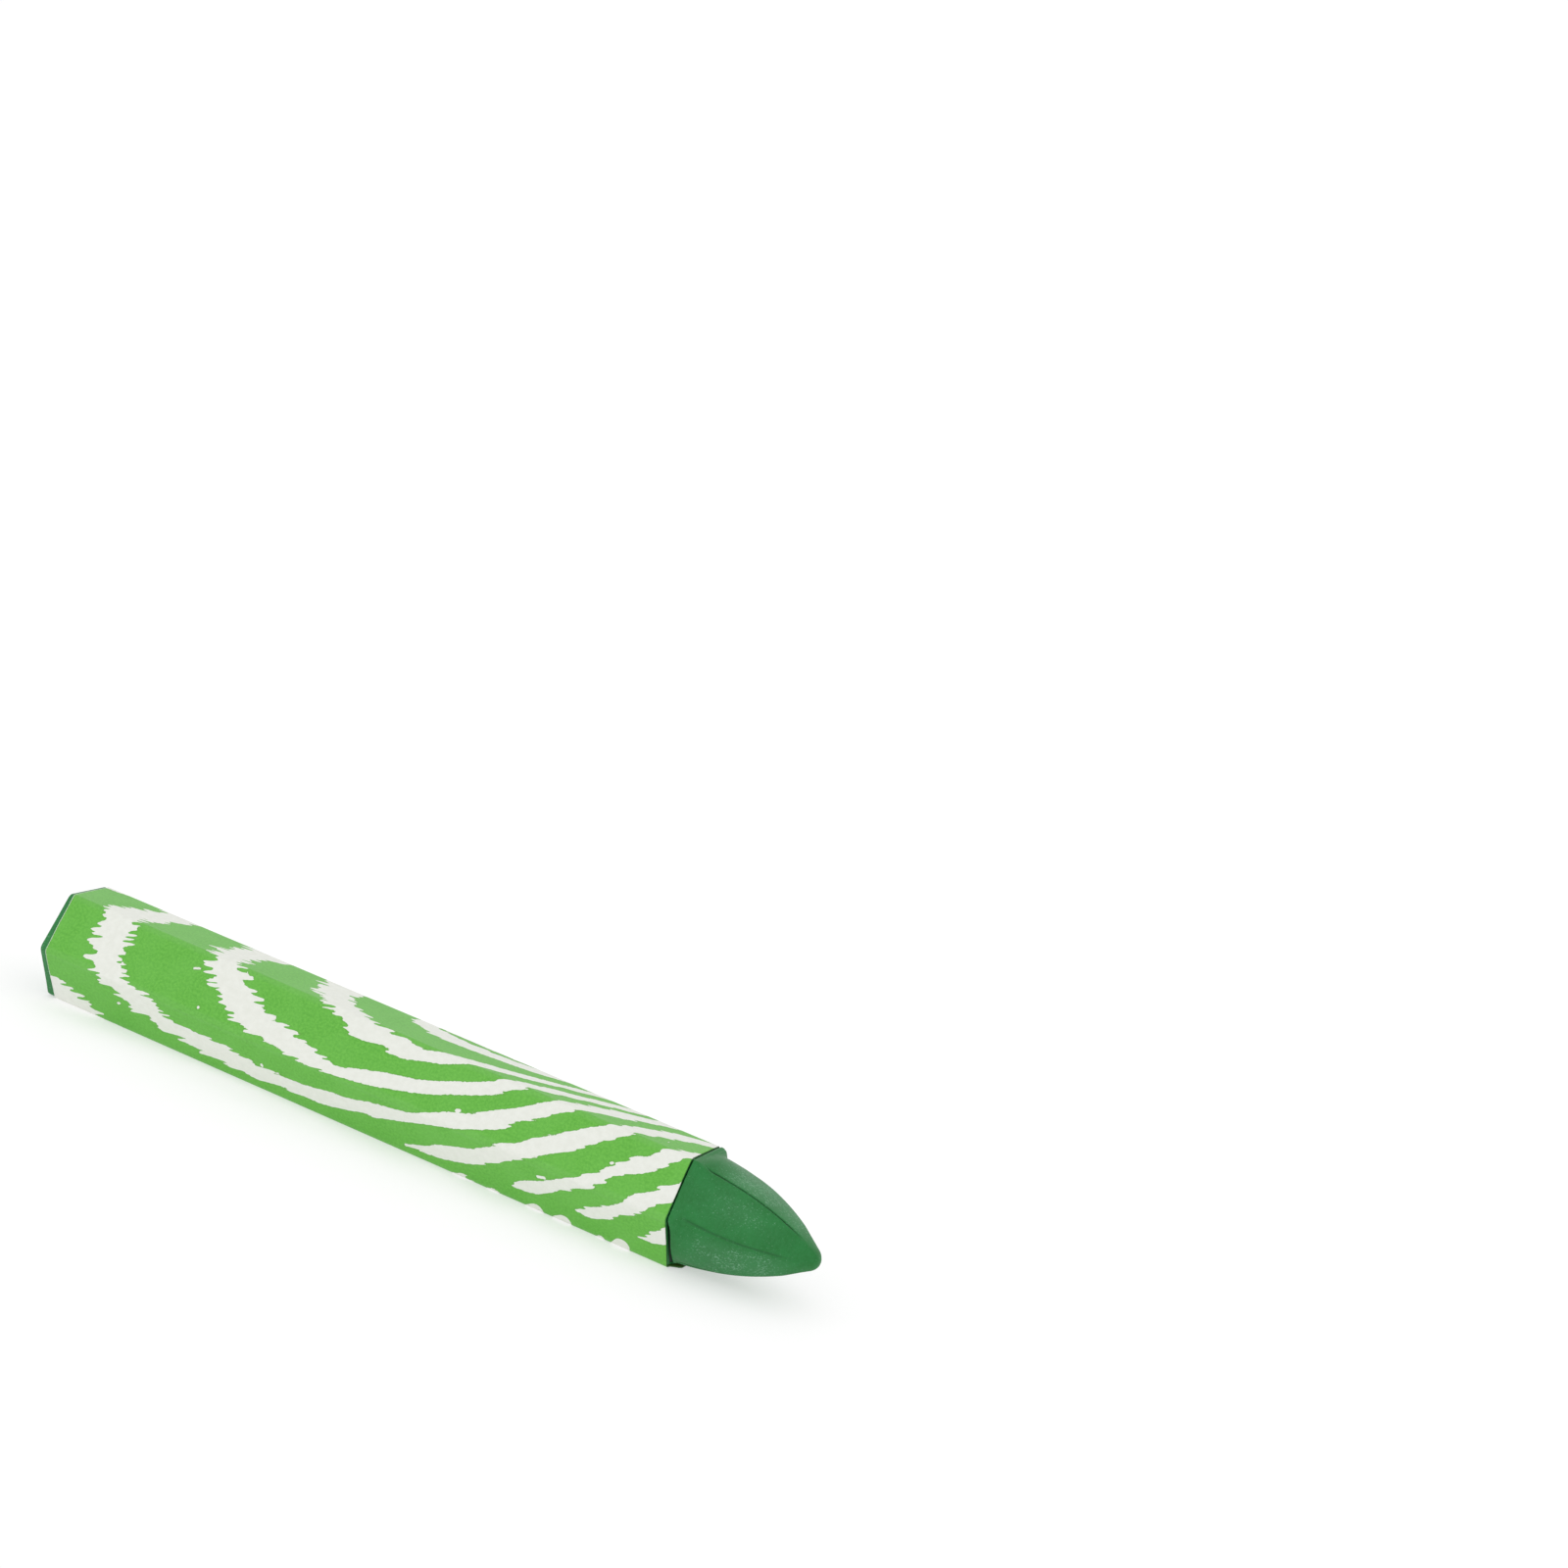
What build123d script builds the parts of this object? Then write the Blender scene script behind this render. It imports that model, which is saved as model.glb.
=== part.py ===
"""Hexagonal timber marking crayon: a cast wax stick in a rolled, glued paper label.

Units are millimetres. The crayon lies on one flat: +X runs from the butt to the marking tip, +Z is
up, and the origin is on the resting surface under the middle of the crayon.
"""
from build123d import *
from math import atan2, cos, radians, sin, sqrt, tan
import os

# Driving dimensions
length = 120.0              # butt face to nose
wax_flats = 15.0            # across the flats of the wax shank
wax_corner_r = 0.6          # rounding along the shank's six edges
paper_t = 0.14              # label paper
glue_t = 0.05               # each film of paste
butt_rim = 1.05             # bare wax behind the label
butt_edge_r = 0.3           # rounding round the butt face
tip_length = 18.95          # collar's back edge to nose
collar_length = 1.0
collar_corner_r = 0.45
collar_chamfer = 0.35
neck_width = 0.3            # gap between the label's front edge and the collar
neck_depth = 0.25

# Marking tip: a turned ogive whose six flats follow slightly flatter arcs
ogive_base_r = 7.53         # at the corners, where the ogive leaves the collar
ogive_arc_r = 33.0
ogive_base_slope = 3.0      # degrees
facet_base_r = 7.5          # at the middle of a flat
facet_arc_r = 36.0
facet_base_slope = 5.0      # degrees
root_depth = 0.5            # how far the ogive is sunk into the collar

# Crease moulded along each corner of the tip
crease_width = 0.3
crease_depth = 0.22
crease_start = 2.2          # ahead of the collar's front edge
crease_end = 2.6            # short of the nose
crease_lift = 0.06          # height over the wax at which both ends of the crease run out

# Overlap of the label, on the upper back flat; s runs up that flat from its middle
lead_edge = -2.0            # where the sheet starts
tail_edge = 2.0             # where the sheet ends, on top of its own start
pickup_glue_width = 4.2
lap_glue_width = 3.6
glue_inset = 1.5            # the paste stops this far short of the sheet's ends
step_run = 0.8              # length over which the paper climbs or settles
settle_at = 2.4             # where the first turn comes down on to the wax
climb_at = -3.2             # where the second turn leaves the wax
paper_bend_r = 0.5          # bend of the paper at such a step

wax_apothem = wax_flats / 2
axis_height = wax_apothem + paper_t
x_butt = -length / 2
x_nose = length / 2
x_collar = x_nose - tip_length
x_collar_front = x_collar + collar_length
x_label_start = x_butt + butt_rim
x_label_end = x_collar - neck_width
label_length = x_label_end - x_label_start
lap_h = paper_t + 2 * glue_t        # height of the second turn's underside over the wax
seam_angle = 30.0                   # direction of the upper back flat's normal, from +Y


def cross_plane(x):
    """Plane across the crayon at x, its origin on the axis, local x along +Y and local y up."""
    return Plane(origin=(x, 0, axis_height), x_dir=(0, 1, 0), z_dir=(1, 0, 0))


def axial_plane(angle):
    """Plane through the axis: local x along +X, local y outwards at this angle from +Y."""
    outwards = Vector(0, cos(radians(angle)), sin(radians(angle)))
    return Plane(origin=(0, 0, axis_height), x_dir=(1, 0, 0), z_dir=Vector(1, 0, 0).cross(outwards))


def on_flat(angle, s, h):
    """Point over the wax flat whose normal is at angle: s along the flat, h above it."""
    a = radians(angle)
    r = wax_apothem + h
    return (r * cos(a) - s * sin(a), r * sin(a) + s * cos(a))


def arc_radius_at(x, base_r, arc_r, slope):
    """Radius at x of the arc that leaves the collar's front at base_r with this slope."""
    along = x - x_collar_front + arc_r * sin(radians(slope))
    return base_r - arc_r * cos(radians(slope)) + sqrt(arc_r**2 - along**2)


def ogive_r(x):
    return arc_radius_at(x, ogive_base_r, ogive_arc_r, ogive_base_slope)


def facet_r(x):
    return arc_radius_at(x, facet_base_r, facet_arc_r, facet_base_slope)


def sheet_path(lift):
    """Corners of the label's path round the shank, with the paper's face at this lift."""
    points = [
        on_flat(seam_angle, lead_edge, glue_t + lift),
        on_flat(seam_angle, settle_at, glue_t + lift),
        on_flat(seam_angle, settle_at + step_run, lift),
    ]
    corner_s = (wax_apothem + lift) * tan(radians(30))
    for flat in range(6):
        points.append(on_flat(seam_angle + 60 * flat, corner_s, lift))
    points.append(on_flat(seam_angle, climb_at, lift))
    points.append(on_flat(seam_angle, climb_at + step_run, lap_h + lift))
    points.append(on_flat(seam_angle, tail_edge, lap_h + lift))
    return points


def glue_strip(start, width, h):
    """Film of paste along the seam flat, from s = start, with its underside at height h."""
    with BuildPart() as strip:
        with BuildSketch(cross_plane(x_label_start + glue_inset)):
            with BuildLine():
                Polyline(
                    on_flat(seam_angle, start, h),
                    on_flat(seam_angle, start + width, h),
                    on_flat(seam_angle, start + width, h + glue_t),
                    on_flat(seam_angle, start, h + glue_t),
                    close=True,
                )
            make_face()
        extrude(amount=label_length - 2 * glue_inset)
    return strip.part


# Ogive: nose radius that meets the arc smoothly
arc_drop = ogive_arc_r * cos(radians(ogive_base_slope)) - ogive_base_r
arc_lead = x_nose - x_collar_front + ogive_arc_r * sin(radians(ogive_base_slope))
nose_r = (ogive_arc_r**2 - arc_drop**2 - arc_lead**2) / (2 * (ogive_arc_r - arc_lead))
x_nose_centre = x_nose - nose_r
nose_turn = atan2(arc_drop, arc_lead - nose_r)
x_join = x_nose_centre + nose_r * cos(nose_turn)
x_root = x_collar_front - root_depth
x_arc_middle = (x_root + x_join) / 2
nose_half_turn = nose_turn / 2

with BuildPart() as tip:
    with BuildSketch(axial_plane(90)):
        with BuildLine():
            Polyline((x_nose, 0), (x_root, 0), (x_root, ogive_r(x_root)))
            ThreePointArc(
                (x_root, ogive_r(x_root)),
                (x_arc_middle, ogive_r(x_arc_middle)),
                (x_join, nose_r * sin(nose_turn)),
            )
            ThreePointArc(
                (x_join, nose_r * sin(nose_turn)),
                (x_nose_centre + nose_r * cos(nose_half_turn), nose_r * sin(nose_half_turn)),
                (x_nose, 0),
            )
        make_face()
    revolve(axis=Axis((0, 0, axis_height), (1, 0, 0)))
    for angle in (30, 90, 150):
        with BuildSketch(axial_plane(angle)):
            with BuildLine():
                for side in (1, -1):
                    ThreePointArc(
                        (x_root, side * facet_r(x_root)),
                        (x_arc_middle, side * facet_r(x_arc_middle)),
                        (x_nose, side * facet_r(x_nose)),
                    )
                for x in (x_root, x_nose):
                    Line((x, facet_r(x)), (x, -facet_r(x)))
            make_face()
        extrude(amount=wax_flats, both=True, mode=Mode.INTERSECT)
    x_crease_start = x_collar_front + crease_start
    x_crease_end = x_nose - crease_end
    x_crease_middle = (x_crease_start + x_crease_end) / 2
    for angle in range(0, 360, 60):
        with BuildSketch(axial_plane(angle)):
            with BuildLine():
                ThreePointArc(
                    (x_crease_start, ogive_r(x_crease_start) + crease_lift),
                    (x_crease_middle, ogive_r(x_crease_middle) - crease_depth),
                    (x_crease_end, ogive_r(x_crease_end) + crease_lift),
                )
                Polyline(
                    (x_crease_end, ogive_r(x_crease_end) + crease_lift),
                    (x_crease_end, wax_flats),
                    (x_crease_start, wax_flats),
                    (x_crease_start, ogive_r(x_crease_start) + crease_lift),
                )
            make_face()
        extrude(amount=crease_width / 2, both=True, mode=Mode.SUBTRACT)


def hexagon(flats, corner_r):
    """Rounded hexagon standing on a flat, added to the sketch that is being built."""
    outline = RegularPolygon(radius=flats / 2, side_count=6, major_radius=False)
    fillet(outline.vertices(), radius=corner_r)


with BuildPart() as wax_stick:
    with BuildSketch(cross_plane(x_butt)):
        hexagon(wax_flats, wax_corner_r)
    extrude(amount=x_label_end - x_butt)
    fillet(wax_stick.faces().sort_by(Axis.X)[0].edges(), radius=butt_edge_r)
    with BuildSketch(cross_plane(x_label_end)):
        hexagon(wax_flats - 2 * neck_depth, wax_corner_r)
    extrude(amount=neck_width)
    with BuildSketch(cross_plane(x_collar)):
        hexagon(wax_flats, collar_corner_r)
    extrude(amount=collar_length)
    chamfer(wax_stick.faces().sort_by(Axis.X)[-1].edges(), length=collar_chamfer)
    add(tip.part)

wax_stick.part.label = "wax_stick"

with BuildPart() as paper_wrapper:
    with BuildSketch(cross_plane(x_label_start)):
        with BuildLine():
            bends = [paper_bend_r] * 2
            inner = sheet_path(0)
            outer = sheet_path(paper_t)
            FilletPolyline(*inner, radius=bends + [wax_corner_r] * 6 + bends)
            FilletPolyline(*outer, radius=bends + [wax_corner_r + paper_t] * 6 + bends)
            Line(inner[0], outer[0])
            Line(inner[-1], outer[-1])
        make_face()
    extrude(amount=label_length)
paper_wrapper.part.label = "paper_wrapper"

pickup_glue = glue_strip(lead_edge, pickup_glue_width, 0)
pickup_glue.label = "pickup_glue"
lap_glue = glue_strip(-lap_glue_width / 2, lap_glue_width, glue_t + paper_t)
lap_glue.label = "lap_glue"

os.makedirs("parts", exist_ok=True)
export_step(wax_stick.part, "parts/wax_stick.step")
export_step(paper_wrapper.part, "parts/paper_wrapper.step")
export_step(pickup_glue, "parts/pickup_glue.step")
export_step(lap_glue, "parts/lap_glue.step")
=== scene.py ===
"""Looks for the hexagonal timber marking crayon: printed label, wax stick, paste, floor and light.

The crayon lies along X with its tip at +X. Lengths below are in millimetres along and round the
crayon and are turned into metres where a mesh is made.
"""
import math

import bpy
import numpy as np
from mathutils import Matrix, Vector, noise


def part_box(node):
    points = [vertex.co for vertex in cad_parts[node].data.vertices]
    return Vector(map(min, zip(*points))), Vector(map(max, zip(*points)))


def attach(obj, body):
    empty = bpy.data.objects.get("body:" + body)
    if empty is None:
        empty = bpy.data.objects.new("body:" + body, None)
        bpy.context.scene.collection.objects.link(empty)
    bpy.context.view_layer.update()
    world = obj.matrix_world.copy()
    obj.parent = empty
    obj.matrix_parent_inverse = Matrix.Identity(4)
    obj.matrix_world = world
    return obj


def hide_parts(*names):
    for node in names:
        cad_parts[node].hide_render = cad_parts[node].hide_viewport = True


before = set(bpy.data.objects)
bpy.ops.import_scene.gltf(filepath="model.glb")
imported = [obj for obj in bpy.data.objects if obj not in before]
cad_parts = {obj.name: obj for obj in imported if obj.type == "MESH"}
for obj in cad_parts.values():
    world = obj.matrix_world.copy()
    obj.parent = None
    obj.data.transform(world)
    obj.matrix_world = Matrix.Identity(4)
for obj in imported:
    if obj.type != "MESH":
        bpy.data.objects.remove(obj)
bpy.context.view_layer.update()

MM = 0.001
wax_low, wax_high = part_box("wax_stick")
label_low, label_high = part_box("paper_wrapper")

# Sizes that the CAD model has too
X_BUTT = wax_low.x / MM
X_NOSE = wax_high.x / MM
X_LABEL_START = label_low.x / MM
X_LABEL_END = label_high.x / MM
WAX_APOTHEM = 7.5
WAX_CORNER_R = 0.6
PAPER_T = 0.14
GLUE_T = 0.05
AXIS_HEIGHT = WAX_APOTHEM + PAPER_T
X_COLLAR_FRONT = X_NOSE - 17.95
BUTT_EDGE_R = 0.3
BUTT_DISH = 0.2
LEAD_EDGE = -2.0
SETTLE_AT = 2.4
CLIMB_AT = -3.2
STEP_RUN = 0.8
TAIL_EDGE = 2.0

# Unrolled label: v runs round it from the top back edge, one flat after another towards the front.
# Up to about 9 it is on the top, to 18 on the upper front, to 26 on the lower front, to 35 on the
# under side, to 44 on the lower back and to 53 on the upper back.
FLAT_PITCH = 2 * (WAX_APOTHEM + PAPER_T) * math.tan(math.radians(30))
SEAM_ANGLE = 30     # direction of the upper back flat's normal, in degrees from +Y
FLAT_HALF = (WAX_APOTHEM - WAX_CORNER_R) * math.tan(math.radians(30))

# Bare-paper bands of the wood-grain print: (mm from the butt, v, half width)
BANDS = [
    # arches that open towards the tip
    [(24, -5.6, 1.2), (19, -4.2, 1.5), (16.5, -2.2, 2.0), (14.0, 0.0, 2.1), (12.2, 2.2, 2.3),
     (11.0, 4.2, 2.2), (9.2, 6.6, 2.5), (9.3, 9.2, 2.6), (9.4, 12.0, 2.5), (9.7, 14.6, 2.5),
     (11.6, 17.0, 2.1), (14.8, 18.9, 1.75), (18.0, 20.4, 2.0), (21.5, 21.8, 1.5), (25, 22.2, 1.5),
     (29, 22.6, 1.6), (33, 22.95, 1.6), (37, 23.4, 1.35), (41, 23.2, 1.15), (45, 22.95, 1.3),
     (49, 22.4, 1.3), (53, 21.5, 1.1), (56, 20.8, 1.3), (60, 19.75, 0.95), (63, 18.7, 0.9),
     (66, 17.4, 1.15), (70, 16.0, 1.15), (73.5, 14.3, 1.3), (76, 12.5, 1.1), (79, 10.6, 1.1),
     (81.5, 8.6, 1.15), (84, 6.6, 1.15), (86, 5.0, 1.2), (88, 3.7, 1.2), (90, 2.3, 1.0),
     (92, 1.0, 0.9), (95, -1.0, 0.9), (101, -4.5, 1.0)],
    [(40, -6.0, 1.2), (35, -4.0, 1.5), (31.5, -2.0, 2.0), (28.9, 0.3, 2.5), (27.4, 2.5, 2.4),
     (26.4, 4.6, 2.4), (26.2, 6.6, 2.4), (26.6, 8.8, 2.5), (28.0, 10.6, 2.35), (30.2, 12.3, 2.2),
     (33.0, 14.0, 2.1), (36.5, 15.2, 1.7), (40, 15.65, 1.5), (43.5, 16.35, 1.35),
     (46.5, 16.8, 0.95), (49, 17.0, 0.65), (51.5, 16.5, 0.85), (54.5, 15.9, 1.05), (58, 15.1, 1.0),
     (61.5, 14.3, 0.95), (65, 13.0, 0.95), (68, 11.9, 0.95), (71, 10.5, 0.95), (74, 8.5, 0.95),
     (76, 7.1, 0.9), (78, 6.0, 0.85), (80, 4.9, 0.85), (82, 3.8, 0.75), (84, 2.6, 0.7),
     (87, 1.0, 0.7), (92, -1.8, 0.8), (98, -4.8, 0.9)],
    [(54, -6.2, 1.3), (48, -4.6, 1.5), (44, -2.2, 2.2), (41.3, 0.3, 2.7), (41.2, 2.5, 2.4),
     (42.2, 4.8, 2.2), (44.2, 6.8, 2.2), (47, 8.5, 1.9), (50, 9.9, 1.7), (53.5, 10.1, 1.2),
     (56.5, 10.5, 1.35), (59.5, 10.3, 0.85), (62.5, 9.5, 0.85), (65.5, 8.2, 0.9), (68, 7.2, 0.9),
     (72, 5.5, 0.8), (76, 3.5, 0.7), (79, 2.0, 0.6), (82, 0.6, 0.6), (88, -2.4, 0.7),
     (96, -5.5, 0.9)],
    [(57, -4.5, 1.6), (55.0, -2.0, 2.0), (54.7, 0.4, 1.95), (56.3, 1.9, 1.6), (59, 2.6, 1.5),
     (62, 2.6, 1.35), (66, 2.3, 1.05), (70, 1.7, 0.95), (73.5, 0.9, 0.9), (77, -0.4, 0.8),
     (84, -3.2, 0.8), (90, -5.4, 0.8)],
    [(58, -0.6, 0.9), (64, -0.6, 1.0), (70, -0.6, 0.9), (76, -1.8, 0.7), (82, -4.2, 0.6)],
    # stripes that run up to the collar
    [(61, 24.8, 0.1), (63.5, 24.2, 0.6), (66, 23.4, 1.15), (69, 22.4, 1.4), (72, 21.2, 1.3),
     (75, 19.1, 1.4), (78, 17.2, 1.25), (81, 15.1, 1.35), (84, 13.3, 1.3), (86.5, 11.3, 1.15),
     (88.8, 9.8, 1.0), (90.6, 8.0, 1.3), (92.5, 6.2, 1.3), (94.5, 4.4, 1.3), (96.5, 2.8, 1.1),
     (98.5, 1.7, 0.9), (103, -0.4, 0.8)],
    [(77.6, 23.7, 0.25), (79, 23.1, 0.8), (81, 22.2, 1.15), (83, 21.1, 1.1), (85, 19.7, 0.95),
     (87, 18.3, 0.95), (89, 17.0, 0.95), (90.5, 15.7, 0.8), (92, 14.1, 0.95), (94, 12.6, 1.15),
     (95.8, 11.5, 1.05), (97.2, 10.2, 1.0), (98.7, 8.7, 1.1), (103, 5.3, 1.4)],
    [(88.3, 23.2, 0.35), (90, 22.2, 1.05), (92, 21.0, 1.1), (94, 19.4, 1.05), (96, 17.6, 1.35),
     (98, 15.8, 1.15), (99.5, 14.6, 1.2), (103, 11.6, 1.3)],
    [(97.6, 23.0, 0.15), (99, 22.3, 0.7), (100.2, 21.3, 1.2), (103, 19.6, 1.5)],
    # along the front's lower edge
    [(-1, 24.0, 2.2), (2.5, 24.8, 2.5), (5.5, 25.7, 2.1), (8.5, 27.0, 1.9), (12, 28.4, 1.6),
     (17, 29.0, 1.4), (26, 28.6, 1.5), (40, 28.9, 1.4), (54, 28.8, 1.3), (64, 28.4, 1.2),
     (74, 28.2, 1.2), (84, 28.2, 1.2), (94, 28.2, 1.2), (103, 28.6, 1.1)],
    # low swellings of that band
    [(68.9, 27.6, 1.5), (69.8, 27.3, 1.6)],
    [(74.2, 26.7, 0.6), (74.8, 26.4, 0.5)],
    # under side and back
    [(-1, -0.3, 1.5), (2.5, -0.6, 1.4), (5.5, -1.6, 0.7)],
    [(-1, 33.4, 1.4), (10, 33.0, 1.2), (24, 32.6, 1.4), (38, 32.4, 1.2), (52, 31.8, 1.1),
     (66, 31.6, 1.3), (80, 31.0, 1.1), (92, 30.4, 1.0), (103, 30.2, 1.2)],
    [(32, 51.5, 1.4), (24, 48.2, 1.6), (18, 45.4, 2.0), (15.6, 42.6, 2.4), (15.8, 40.2, 2.4),
     (18.5, 38.0, 2.0), (24, 36.9, 1.4), (32, 36.6, 1.3), (42, 36.4, 1.2), (54, 36.0, 1.2),
     (68, 35.4, 1.2), (82, 34.6, 1.1), (103, 33.8, 1.2)],
    [(52, 51.5, 1.3), (43, 48.6, 1.6), (36, 45.8, 1.9), (33.4, 43.2, 2.2), (34.6, 41.2, 1.9),
     (39, 40.2, 1.4), (48, 39.8, 1.2), (60, 39.4, 1.3), (74, 38.6, 1.1), (88, 37.6, 1.2),
     (103, 37.0, 1.1)],
    [(72, 51.5, 1.2), (62, 49.2, 1.3), (55, 46.8, 1.6), (52.2, 44.9, 1.6), (54.5, 43.4, 1.3),
     (62, 42.8, 1.1), (74, 42.2, 1.2), (88, 41.2, 1.1), (103, 40.8, 1.2)],
    [(92, 51.5, 1.1), (82, 49.4, 1.2), (75, 47.4, 1.3), (72.5, 46.2, 1.2), (76, 45.3, 1.0),
     (88, 44.6, 1.1), (103, 44.2, 1.0)],
    [(103, 50.0, 1.0), (96, 48.6, 1.1), (93, 47.9, 0.8)],
    [(-1, 38.6, 1.8), (3, 39.4, 1.6), (6.5, 41.6, 1.5), (8.5, 44.6, 1.6), (12, 48.0, 1.5),
     (17, 51.5, 1.4)],
    [(-1, 46.5, 1.2), (2, 48.6, 1.1), (5, 51.5, 1.1)],
]
# Small loose marks: (start, end, half width)
FLECKS = [
    ((23.0, 11.7), (23.8, 11.4), 0.16), ((26.45, 16.45), (26.45, 16.45), 0.22),
    ((30.5, 9.35), (30.5, 9.35), 0.13), ((37.4, 21.6), (37.4, 21.8), 0.24),
    ((67.7, 15.35), (68.1, 15.2), 0.24), ((90.7, 13.6), (90.9, 13.5), 0.2),
    ((81.6, 19.9), (82.6, 19.6), 0.25), ((95.9, 6.6), (95.9, 6.6), 0.15),
    ((13.2, 21.9), (13.5, 21.7), 0.2),
    # rounded knobs on the band along the front's lower edge
    ((80.6, 27.0), (81.3, 26.5), 1.15), ((84.9, 26.9), (85.6, 26.4), 1.2), ((90.9, 27.0), (91.3, 26.5), 0.6),
    ((93.9, 27.0), (94.5, 26.1), 1.25),
]
GRAIN_ANGLE = math.radians(-16)     # the print's fingers lie this way on the unrolled label
REACH = 4.0


# ---------------------------------------------------------------- helpers

def smooth_step(low, high, x):
    t = np.clip((np.asarray(x, float) - low) / (high - low), 0, 1)
    return t * t * (3 - 2 * t)


def soft_noise(x, y, seed):
    """Smooth noise between about -1 and 1 for arrays of the same shape."""
    pairs = zip(np.ravel(x), np.ravel(y))
    values = [noise.noise(Vector((a, b, seed))) for a, b in pairs]
    return np.array(values).reshape(np.shape(x))


def new_mesh_object(name, points, faces, smooth=True):
    """points are millimetres in the row frame."""
    mesh = bpy.data.meshes.new(name)
    mesh.from_pydata((np.asarray(points) * MM).tolist(), [], faces)
    mesh.validate()
    mesh.update()
    if smooth:
        mesh.polygons.foreach_set("use_smooth", [True] * len(mesh.polygons))
    obj = bpy.data.objects.new(name, mesh)
    bpy.context.scene.collection.objects.link(obj)
    return obj


def store(obj, name, values):
    """Saves one number, or one vector, per vertex under a name that materials can read."""
    values = np.asarray(values, np.float32)
    kind, key = ("FLOAT", "value") if values.ndim == 1 else ("FLOAT_VECTOR", "vector")
    attribute = obj.data.attributes.new(name, kind, "POINT")
    attribute.data.foreach_set(key, values.ravel())


class Nodes:
    """Short calls for building one material's node tree."""

    def __init__(self, name):
        self.material = bpy.data.materials.new(name)
        self.material.use_nodes = True
        self.tree = self.material.node_tree
        self.shader = self.tree.nodes["Principled BSDF"]

    def plug(self, socket, value):
        """Links another node's output into the socket, or gives it a plain value."""
        if isinstance(value, bpy.types.NodeSocket):
            self.tree.links.new(value, socket)
        else:
            socket.default_value = value

    def node(self, kind, inputs=None, **settings):
        made = self.tree.nodes.new(kind)
        for key, value in settings.items():
            setattr(made, key, value)
        for key, value in (inputs or {}).items():
            self.plug(made.inputs[key], value)
        return made

    def math(self, operation, a, b=0.0):
        return self.node("ShaderNodeMath", {0: a, 1: b}, operation=operation).outputs[0]

    def swing(self, value, size):
        """Turns noise from 0 to 1 into noise that swings from -size / 2 to size / 2."""
        return self.math("MULTIPLY", self.math("SUBTRACT", value, 0.5), size)

    def attribute(self, name, output="Fac"):
        return self.node("ShaderNodeAttribute", attribute_name=name).outputs[output]

    def mapped(self, vector, size, turn=0.0, start=(0, 0, 0)):
        """Coordinates counted from start in units of size, along axes turned about Z."""
        turned = {"Vector": vector, "Rotation": (0, 0, turn), "Location": start, "Scale": size}
        return self.node("ShaderNodeMapping", turned, vector_type="TEXTURE").outputs[0]

    def noise(self, vector, scale, detail=2.0, roughness=0.5):
        inputs = {"Vector": vector, "Scale": scale, "Detail": detail, "Roughness": roughness}
        return self.node("ShaderNodeTexNoise", inputs).outputs["Fac"]

    def ramp(self, value, low, high, to_low=0.0, to_high=1.0, smooth=True):
        """Carries the range from low to high over to another, and holds the ends beyond it."""
        inputs = {"Value": value, "From Min": low, "From Max": high, "To Min": to_low, "To Max": to_high}
        kind = "SMOOTHSTEP" if smooth else "LINEAR"
        return self.node("ShaderNodeMapRange", inputs, interpolation_type=kind).outputs["Result"]

    def mix(self, factor, a, b):
        """Colour a where the factor is 0 and colour b where it is 1."""
        return self.node("ShaderNodeMix", {0: factor, 6: a, 7: b}, data_type="RGBA").outputs[2]

    def set(self, **values):
        """Sets inputs of the surface's own shader, with _ for the spaces in their names."""
        for key, value in values.items():
            self.plug(self.shader.inputs[key.replace("_", " ")], value)

    def bump(self, height, strength, distance):
        inputs = {"Height": height, "Strength": strength, "Distance": distance}
        self.set(Normal=self.node("ShaderNodeBump", inputs).outputs["Normal"])


# ---------------------------------------------------------------- wood-grain print

def smooth_curve(points, per_span):
    """Points along a Catmull-Rom curve through the given ones, columns kept as they are."""
    p = np.asarray(points, float)
    p = np.vstack([2 * p[0] - p[1], p, 2 * p[-1] - p[-2]])
    t = np.linspace(0, 1, per_span, endpoint=False)[:, None]
    spans = []
    for a, b, c, d in zip(p, p[1:], p[2:], p[3:]):
        curve = 2 * b + (c - a) * t + (2 * a - 5 * b + 4 * c - d) * t**2 + (3 * b - a - 3 * c + d) * t**3
        spans.append(curve / 2)
    return np.vstack(spans + [p[-2:-1]])


def distance_to_stroke(x, v, a, b):
    """Signed distance to a stroke from a to b, each (x, v, half width); negative inside."""
    run, rise = b[0] - a[0], b[1] - a[1]
    length2 = max(run * run + rise * rise, 1e-9)
    t = np.clip(((x - a[0]) * run + (v - a[1]) * rise) / length2, 0, 1)
    return np.hypot(x - a[0] - t * run, v - a[1] - t * rise) - (a[2] + t * (b[2] - a[2]))


def nearest_stroke(x, v, strokes):
    """Distance in mm to the nearest of the strokes; negative inside one, and never over REACH."""
    distance = np.full(x.shape, REACH)
    for a, b in strokes:
        reach = REACH + max(a[2], b[2])
        near = (x > min(a[0], b[0]) - reach) & (x < max(a[0], b[0]) + reach)
        near &= (v > min(a[1], b[1]) - reach) & (v < max(a[1], b[1]) + reach)
        distance[near] = np.minimum(distance[near], distance_to_stroke(x[near], v[near], a, b))
    return distance


def band_distance(x, v):
    """Distance in mm to the nearest bare-paper band; negative inside one."""
    strokes = []
    for band in BANDS:
        curve = smooth_curve(band, 5)
        strokes += list(zip(curve, curve[1:]))
    return nearest_stroke(x, v, strokes)


def band_slope(x, v):
    """How fast the band distance grows along the grain."""
    step = 0.25
    run, rise = step * math.cos(GRAIN_ANGLE), step * math.sin(GRAIN_ANGLE)
    return (band_distance(x + run, v + rise) - band_distance(x - run, v - rise)) / (2 * step)


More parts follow.
